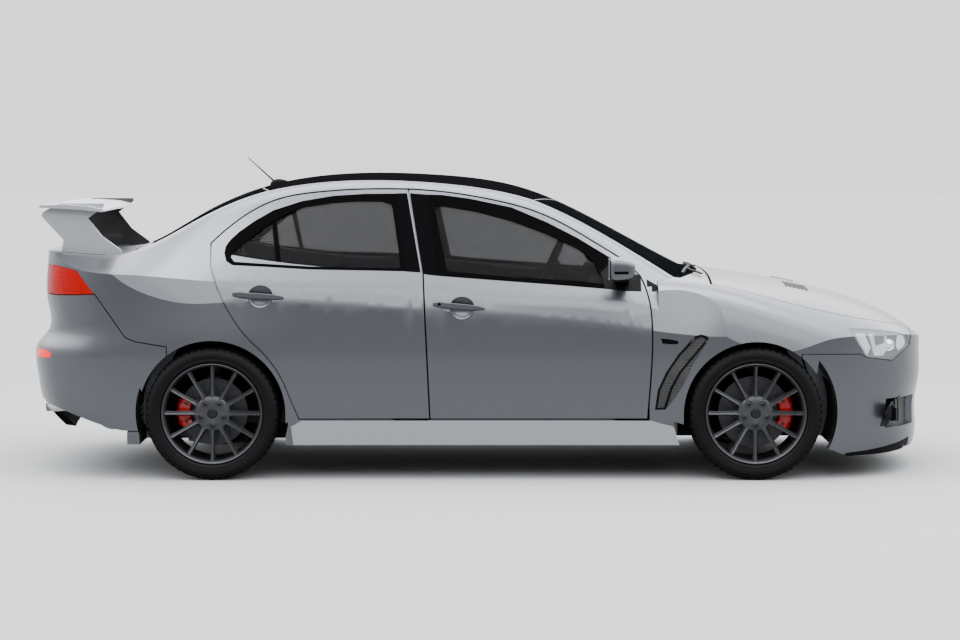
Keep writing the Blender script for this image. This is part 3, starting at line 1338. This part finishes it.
@dataclass
class TailDetails:
    """Exhaust tips, diffuser fins, reflectors and the wing's finish."""

    pipe_centre: tuple = (0.5, 0.337)
    tip_radius: float = 43.0
    tip_start: float = -2158.0
    tip_end: float = -2196.0
    tip_profile: tuple = ((37, -170), (41, -160), (43, 0), (42.5, 4), (39, 4.5), (37.5, 0), (36.5, -120),
                          (0.3, -120))
    fin_places: tuple = (-300, -110, 110, 300)
    fin_levels: tuple = (236, 385)
    fin_reach: tuple = (-2250, -2120)
    blade_half: float = 0.6

    def build(self) -> None:
        """Build the pieces of the tail."""
        self.build_tips()
        self.build_fins()
        for side in Side:
            self.build_reflector(side)
        self.dress_wing()

    def build_tips(self) -> None:
        """Roll a bright oval tip over each pipe's end."""
        piece = Piece("exhaust_tips", "body", CHROME, WELL_BLACK)
        across, level = self.pipe_centre
        for side in Side:
            piece.lathe(self.tip_profile, Vector(), 48)
            for vert in piece.fresh(piece.bm.verts):
                near_end = max(0.0, 1 + vert.co.y / (120 * MM))
                slant = -22 * vert.co.z / (self.tip_radius * MM) * near_end * MM
                x = max(self.tip_start * MM - vert.co.y + slant, self.tip_end * MM)
                vert.co = Vector((x, side.value * across + vert.co.x * 1.02, level + vert.co.z * 0.9))
        for face in piece.bm.faces:
            middle = face.calc_center_median()
            radius = math.hypot(abs(middle.y) - across, middle.z - level)
            face.material_index = 1 if radius < 30 * MM else 0
        piece.done(turn_out=True)

    def build_fins(self) -> None:
        """Stand four fins on the diffuser."""
        piece = Piece("diffuser_fins", "body", TRIM_BLACK)
        skin = Skin("diffuser")
        (low, high), (back, front) = self.fin_levels, self.fin_reach
        for y in self.fin_places:
            for vert in piece.block((back, y - 4, low), (front, y + 4, high), cuts=4):
                hit = skin.ray(Vector((-3, vert.co.y, vert.co.z)), Vector((1, 0, 0)))
                face = hit.x / MM if hit else -2200
                share = (vert.co.x / MM - back) / (front - back)
                stand = 14 * (1 - (vert.co.z / MM - low) / (high - low))
                vert.co.x = max(face - stand + share * 40, back + 1) * MM
        piece.done(turn_out=True)

    def build_reflector(self, side: Side) -> None:
        """Set the red reflector in the rear bumper's corner."""
        corners = [(-2208, 618), (-2160, 622), (-2120, 614), (-2108, 600), (-2120, 588), (-2160, 582),
                   (-2208, 584)]
        outline = smooth_line(corners, 3, True)
        SidePanel(f"reflector_{side.word}", "body", RED_CELL, outline, [], 1.5, 3.0, 10.0).build(
            Skin("rear_bumper"), None, side)

    def dress_wing(self) -> None:
        """Give the wing silver outsides and dark inner and lower faces."""
        wing = bpy.data.objects["rear_wing"]
        wing.data.materials.clear()
        for finish in (WING_SILVER, CARBON):
            wing.data.materials.append(finish.material())
        for polygon in wing.data.polygons:
            inward = polygon.normal.y * (1 if polygon.center.y > 0 else -1) < -0.5
            under = polygon.normal.z < -0.35 and abs(polygon.center.y) < self.blade_half
            polygon.material_index = 1 if inward or under else 0


@dataclass
class Cabin:
    """Seats, dashboard details and steering wheel."""

    seat_place: float = 365.0
    wheel_centre: tuple = (372.5, 370.0, 975.0)
    wheel_lean: float = 24.0
    wheel_radius: float = 180.0
    grip_radius: float = 14.5
    hub_profile: tuple = ((0.3, 4), (30, 3), (52, -3), (60, -14), (54, -40), (0.3, -44))
    spoke_angles: tuple = (0, 180, 270)

    def build(self) -> None:
        """Build what shows through the windows."""
        for side in Side:
            self.build_front_seat(side)
        self.build_bench()
        self.build_wheel()
        self.build_dash()
        self.build_mirror()

    def cushion(self, name: str, finish: Finish, low: tuple, high: tuple, lean: float, crown: float,
                waist: float = 0.0) -> bpy.types.Object:
        """Shape one padded form: a crowned closed block that leans back.

        Args:
            name: Name of the piece.
            finish: Its cloth.
            low: Lowest corner in millimetres.
            high: Highest corner.
            lean: Lean of its top towards the tail, in millimetres.
            crown: Rise of its middle, in millimetres.
            waist: How far its sides pull in half way up.

        Returns:
            The finished padded piece.
        """
        piece = Piece(name, "body", finish, SUEDE)
        verts = piece.block(low, high, cuts=9)
        middle = (Vector(low) + Vector(high)) / 2 * MM
        half = (Vector(high) - Vector(low)) / 2 * MM
        for vert in verts:
            spot = Vector([(vert.co[i] - middle[i]) / half[i] for i in range(3)])
            swell = [math.sqrt(max(0.0, 1 - 0.42 * (spot[(i + 1) % 3] ** 4 + spot[(i + 2) % 3] ** 4)))
                     for i in range(3)]
            shaped = Vector([spot[i] * half[i] * (0.86 + 0.14 * swell[i]) * swell[i] ** 0.5
                             for i in range(3)])
            shaped.y *= 1 - waist * (1 - spot.z ** 2)
            shaped.x -= lean * MM * (spot.z * 0.5)
            dip = crown * MM * (1 - min(1.0, abs(spot.y) / 0.62) ** 4)
            if half.z > half.x:
                shaped.x -= dip * (1 if spot.x > 0.3 else 0)
            else:
                shaped.z -= dip * (1 if spot.z > 0.3 else 0)
            vert.co = middle + shaped
        made = piece.done(turn_out=True, sharp=70)
        for polygon in made.data.polygons:
            side_share = abs(polygon.center.y - middle.y) / half.y
            polygon.material_index = 1 if side_share > 0.66 else 0
        smooth = made.modifiers.new("padding", "SUBSURF")
        smooth.levels = 1
        smooth.render_levels = 1
        return made

    def build_front_seat(self, side: Side) -> None:
        """Make a sports seat of cushion, bolstered back and head restraint."""
        y = side.value * self.seat_place
        base, back, head = (
            self.cushion(f"{name}_{side.word}", finish, (x1, y - half, z1), (x2, y + half, z2), *shape)
            for name, finish, x1, x2, half, z1, z2, shape in (
                ("seat_cushion", CLOTH, -150, 350, 238, 300, 480, (-30, 14)),
                ("seat_back", CLOTH, -262, -112, 232, 440, 1085, (250, 20, 0.1)),
                ("head_restraint", SUEDE, -372, -292, 125, 1075, 1235, (26, 6))))
        if side is Side.RIGHT:
            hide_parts("front_seats")

    def build_bench(self) -> None:
        """Make the rear bench of a cushion and a back."""
        base = self.cushion("bench_cushion", CLOTH, (-870, -610, 285), (-402, 610, 490), -10, 10)
        self.cushion("bench_back", CLOTH, (-905, -610, 450), (-735, 610, 975), 130, 12)
        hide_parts("rear_bench")

    def build_wheel(self) -> None:
        """Make the steering wheel with a grip ring, three spokes and a padded middle."""
        turn = Matrix.Rotation(math.radians(self.wheel_lean - 90), 4, "Y")
        centre = Vector(self.wheel_centre) * MM
        piece = Piece("sports_steering_wheel", "steering_wheel", LEATHER, SATIN_SILVER, DASH)
        turns = [math.tau * i / 12 for i in range(12)]
        grip = [(self.wheel_radius + self.grip_radius * math.cos(a), self.grip_radius * math.sin(a))
                for a in turns]
        piece.lathe(grip, Vector(), 64, closed=True)
        piece.lathe(self.hub_profile, Vector(), 40, 2)
        for angle in self.spoke_angles:
            spoke = bmesh.new()
            bmesh.ops.create_cube(spoke, size=1.0)
            long_edges = [e for e in spoke.edges if abs(e.verts[0].co.x - e.verts[1].co.x) > 0.5]
            bmesh.ops.subdivide_edges(spoke, edges=long_edges, cuts=4)
            for vert in spoke.verts:
                along = vert.co.x + 0.5
                width = 26 + 14 * (2 * along - 1) ** 2
                vert.co = Vector((48 + 122 * along, -8 + 12 * vert.co.y, width * vert.co.z)) * MM
            bmesh.ops.rotate(spoke, verts=spoke.verts, cent=(0, 0, 0),
                             matrix=Matrix.Rotation(math.radians(-angle), 3, "Y"))
            piece.take(spoke, 1)
        piece.round_edges(2.5, 2, 60)
        for vert in piece.bm.verts:
            flat = Vector((vert.co.z, vert.co.x, vert.co.y))
            vert.co = centre + turn @ flat
        piece.done("steering_wheel", turn_out=True)

    def build_dash(self) -> None:
        """Set the instrument hood, the centre screen and two vents on the dashboard."""
        piece = Piece("instrument_hood", "body", DASH, SATIN_SILVER, BLACK_GLOSS)
        for low, high, number in (
                ((560, 240, 930), (740, 500, 1005), 0), ((548, -110, 800), (580, 110, 930), 2),
                ((540, -600, 850), (575, -470, 915), 1), ((540, 470, 850), (575, 600, 915), 1)):
            verts = piece.block(low, high, cuts=3, material=number)
            middle = (Vector(low) + Vector(high)) / 2 * MM
            half_y = (high[1] - low[1]) / 2 * MM
            for vert in verts:
                if vert.co.z > middle.z:
                    vert.co.z -= 0.25 * (vert.co.z - middle.z) * ((vert.co.y - middle.y) / half_y) ** 2
        piece.round_edges(8, 3, 50)
        piece.done(turn_out=True)

    def build_mirror(self) -> None:
        """Hang the inner mirror behind the windscreen."""
        piece = Piece("inner_mirror", "body", DASH, REFLECTOR)
        verts = piece.block((268, -120, 1262), (290, 120, 1322), cuts=3)
        for vert in verts:
            share = vert.co.y / (120 * MM)
            vert.co.z += (1.292 - vert.co.z) * 0.3 * share ** 2
        piece.block((285, -8, 1305), (318, 8, 1350))
        piece.round_edges(4, 2, 50)
        piece.done(turn_out=True)


@dataclass
class Bodywork:
    """Finishes of the CAD nodes that are shown as they are."""

    closing: tuple = ("door_", "hood", "boot_lid", "fuel_flap")
    near_cover: float = 1.8
    door_cover: float = 0.09
    cabin_ends: tuple = (-1.2, 0.9)
    cabin_floor: float = 0.27
    sill_level: float = 0.5

    def build(self) -> None:
        """Dress every kept node."""
        plain = {
            SILVER: ("hood", "boot_lid", "fuel_flap", "front_bumper", "rear_bumper", "front_fenders"),
            SKIRT_SILVER: ("side_skirts",),
            BLACK_GLOSS: ("roof_panel",),
            TRIM_BLACK: ("diffuser", "wipers", "antenna"),
            NET: ("grille", "fender_vents", "hood_vents"),
            SCREEN: ("windscreen", "rear_window"),
            CASTING: ("engine_block",),
            PIPE: ("exhaust",),
            WELL_BLACK: ("floor_pan",),
            DASH: ("dashboard",),
            STEEL: ("suspension_front", "suspension_rear", "knuckle_front_right", "knuckle_front_left",
                    "knuckles_rear"),
        }
        for finish, names in plain.items():
            for name in names:
                self.dress(name, finish)
        for side in Side:
            for axle, disc_finish in ((Axle.FRONT, DISC_FRONT), (Axle.REAR, DISC_REAR)):
                self.dress(f"door_glass_{axle.word}_{side.word}", WINDOW)
                self.dress(f"brake_disc_{axle.word}_{side.word}", disc_finish)
        self.dress_shell()

    def dress(self, name: str, finish: Finish) -> None:
        """Give a node one finish."""
        mesh = bpy.data.objects[name].data
        mesh.materials.clear()
        mesh.materials.append(finish.material())
        for polygon in mesh.polygons:
            polygon.material_index = 0

    def dress_shell(self) -> None:
        """Paint the shell's outside and door frames silver, and line its inside, bays and wheel wells."""
        shell = bpy.data.objects["body_shell"].data
        shell.materials.clear()
        for finish in (SILVER, WELL_BLACK, DASH):
            shell.materials.append(finish.material())
        fixed, doors = [], []
        for node in (o for o in bpy.data.objects if o.type == "MESH" and o.get("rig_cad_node")):
            group = doors if node.name.startswith(self.closing) else fixed
            if "glass" not in node.name:
                group.append(node.name)
        inside = Skin(*fixed)
        near_doors = Skin(*doors)
        for polygon in shell.polygons:
            start = polygon.center + polygon.normal * 0.6 * MM
            block = inside.tree.ray_cast(start, polygon.normal, self.near_cover)
            cover = near_doors.tree.ray_cast(start, polygon.normal, self.door_cover)
            hidden = block[0] is not None and not (cover[0] is not None and cover[3] < block[3])
            between = self.cabin_ends[0] < polygon.center.x < self.cabin_ends[1]
            cabin = between and polygon.center.z > self.cabin_floor
            below = polygon.center.z < self.sill_level and polygon.normal.z < -0.5
            polygon.material_index = (2 if cabin else 1) if hidden or below else 0


@dataclass
class Calipers:
    """Red brake calipers with ribs, a slot for the disc and bolts."""

    axle_level: float = 326.5
    disc_middle: float = 762.0
    steps: int = 14
    rib: float = 3.0
    bolt: tuple = ((0.3, 5), (6, 5), (7.5, 3), (7.5, -8))

    def build(self) -> None:
        """Shape each caliper round its disc."""
        for side in Side:
            word = side.word
            self.build_one(side, Axle.FRONT, f"knuckle_{word}", 175, -32, 32, f"caliper_front_{word}")
            rear = ["calipers_rear"] if side is Side.RIGHT else []
            self.build_one(side, Axle.REAR, "body", 165, 152, 208, *rear)

    def build_one(self, side: Side, axle: Axle, body: str, disc: float, start: float, end: float,
                  *replaced: str) -> None:
        """Spin the caliper's section round the axle and cut its window and ribs.

        Args:
            side: Side of the car.
            axle: Axle of the wheel.
            body: CAD body that it rides.
            disc: Radius of the disc in millimetres.
            start: First angle of its arc, in degrees from forward, upwards.
            end: Last angle of its arc.
            replaced: CAD nodes that it stands for.
        """
        piece = Piece(f"caliper_casting_{axle.word}_{side.word}", body, CALIPER, STEEL)
        sign = side.value
        centre = Vector((axle.value, 0, self.axle_level)) * MM
        middle = self.disc_middle
        outer = [(-58, 18), (-50, 46), (-14, 49), (4, 44), (14, 30), (14, -30), (4, -44), (-14, -46),
                 (-50, -44), (-58, -18), (-40, -18), (5, -18), (5, 18), (-40, 18)]
        verts = [piece.bm.verts.new(centre + Vector((disc + radius, sign * (middle + y), 0)) * MM)
                 for radius, y in outer]
        for i, vert in enumerate(verts):
            piece.bm.edges.new((vert, verts[(i + 1) % len(verts)]))
        cap = piece.bm.faces.new(verts)
        bmesh.ops.rotate(piece.bm, verts=verts, cent=centre,
                         matrix=Matrix.Rotation(math.radians(-start), 3, "Y"))
        bmesh.ops.spin(piece.bm, geom=[cap], cent=centre, axis=(0, 1, 0), angle=-math.radians(end - start),
                       steps=self.steps)
        for vert in piece.bm.verts:
            place = vert.co - centre
            angle = math.degrees(math.atan2(place.z, place.x)) % 360
            share = min(1.0, max(0.0, ((angle - start + 20) % 360 - 20) / (end - start)))
            radius = math.hypot(place.x, place.z) / MM
            on_face = abs(abs(place.y) / MM - middle) > 40
            rib = self.rib * math.sin(share * math.pi * 3) ** 2 if on_face else 0.0
            ends = 9.0 * max(0.0, abs(share - 0.5) * 2 - 0.75) / 0.25 if radius > disc else 0.0
            vert.co.y -= math.copysign(rib * MM, abs(place.y) - middle * MM) * sign
            scale = (radius - ends) / radius
            vert.co.x = centre.x + place.x * scale
            vert.co.z = centre.z + place.z * scale
        piece.round_edges(3.0, 2, 40)
        for angle in (start + 10, (start + end) / 2, end - 10):
            turn, reach = math.radians(angle), disc - 24
            spot = centre + Vector((
                reach * math.cos(turn), sign * (middle + 44), reach * math.sin(turn))) * MM
            piece.lathe(self.bolt, spot, 12, 1, sign=sign)
        piece.done(*replaced, turn_out=True, sharp=35)


@dataclass
class Studio:
    """Pale floor, soft lights and the camera at the photograph's viewing angle."""

    camera_place: tuple = (3.0, -13195.0, 1680.0)
    aim: tuple = (3.0, -895.0, 786.0)
    field_of_view: float = 21.38
    horizon_strength: float = 1.7
    sky_strength: float = 8.0
    card_share: float = 0.42
    card_start: float = -0.5
    card_end: float = -0.98
    soft_boxes: tuple = (("top_box", (0.0, -0.8, 5.2), (0.0, 0.0, 0.4), 7.0, 2.6, 500.0),
                         ("side_box", (0.0, -9.0, 5.0), (0.0, 0.0, 0.9), 9.0, 2.0, 300.0))

    def build(self) -> None:
        """Build the camera first, then the floor and the lights."""
        self.build_camera()
        self.build_floor()
        self.build_lights()

    def build_camera(self) -> None:
        """Place the camera."""
        lens = bpy.data.cameras.new("photo_camera")
        lens.sensor_fit = "HORIZONTAL"
        lens.angle_x = math.radians(self.field_of_view)
        lens.clip_end = 200.0
        camera = placed("photo_camera", lens)
        place, aim = Vector(self.camera_place) * MM, Vector(self.aim) * MM
        camera.location = place
        camera.rotation_euler = (aim - place).to_track_quat("-Z", "Y").to_euler()
        bpy.context.scene.camera = camera

    def build_floor(self) -> None:
        """Lay a flat floor far past the picture's edges."""
        bm = bmesh.new()
        bmesh.ops.create_grid(bm, x_segments=2, y_segments=2, size=60.0)
        mesh = bpy.data.meshes.new("studio_floor")
        bm.to_mesh(mesh)
        bm.free()
        mesh.materials.append(PALE_FLOOR.material())
        floor = placed("studio_floor", mesh)

    def build_lights(self) -> None:
        """Light the studio from above, dimmer at the horizon and dimmest behind the camera.

        The dim part behind the camera is what the flanks mirror, so that their silver reads as dark as in
        the photograph.
        """
        world = bpy.data.worlds.new("studio_air")
        bpy.context.scene.world = world
        world.use_nodes = True
        tree = world.node_tree
        air = tree.nodes["Background"]
        air.inputs["Color"].default_value = linear("#f4f5f7")
        aim = add(tree, "ShaderNodeTexCoord").outputs["Generated"]
        way = add(tree, "ShaderNodeSeparateXYZ", {"Vector": aim})
        level = add(tree, "ShaderNodeMapRange", {
            "Value": way.outputs["Z"], "From Min": 0.1, "From Max": 0.5, "To Min": self.horizon_strength,
            "To Max": self.sky_strength}, interpolation_type="SMOOTHSTEP")
        card = add(tree, "ShaderNodeMapRange", {
            "Value": way.outputs["Y"], "From Min": self.card_end, "From Max": self.card_start,
            "To Min": self.card_share, "To Max": 1.0}, interpolation_type="SMOOTHSTEP")
        strength = add(tree, "ShaderNodeMath", {0: level.outputs[0], 1: card.outputs[0]},
                       operation="MULTIPLY")
        tree.links.new(strength.outputs[0], air.inputs["Strength"])
        for name, place, aim, width, height, power in self.soft_boxes:
            self.soft_box(name, place, aim, width, height, power)

    def soft_box(self, name: str, place: tuple, aim: tuple, width: float, height: float,
                 power: float) -> None:
        """Hang one rectangular soft box.

        Args:
            name: Name of the light.
            place: Where it hangs, in metres.
            aim: Point that it faces.
            width: Width in metres.
            height: Height in metres.
            power: Power in watts.
        """
        light = bpy.data.lights.new(name, "AREA")
        light.shape = "RECTANGLE"
        light.size = width
        light.size_y = height
        light.energy = power
        made = placed(name, light)
        made.location = place
        made.rotation_euler = (Vector(aim) - Vector(place)).to_track_quat("-Z", "Y").to_euler()


def main() -> None:
    """Build the whole dressed car and its studio, and keep the size before and after."""
    logging.basicConfig(level=logging.INFO, format="%(name)s: %(message)s")
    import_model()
    Studio().build()
    Bodywork().build()
    for side in Side:
        SideWindows(side).build()
        for axle in Axle:
            Wheel(axle, side).build()
            DoorHandle(side, axle).build()
        DoorMirror(side).build()
        HeadLamp(side).build()
        TailLamp(side).build()
        FenderDetails(side).build()
    Calipers().build()
    NoseDetails().build()
    TopDetails().build()
    TailDetails().build()
    Cabin().build()


if __name__ == "__main__":
    main()
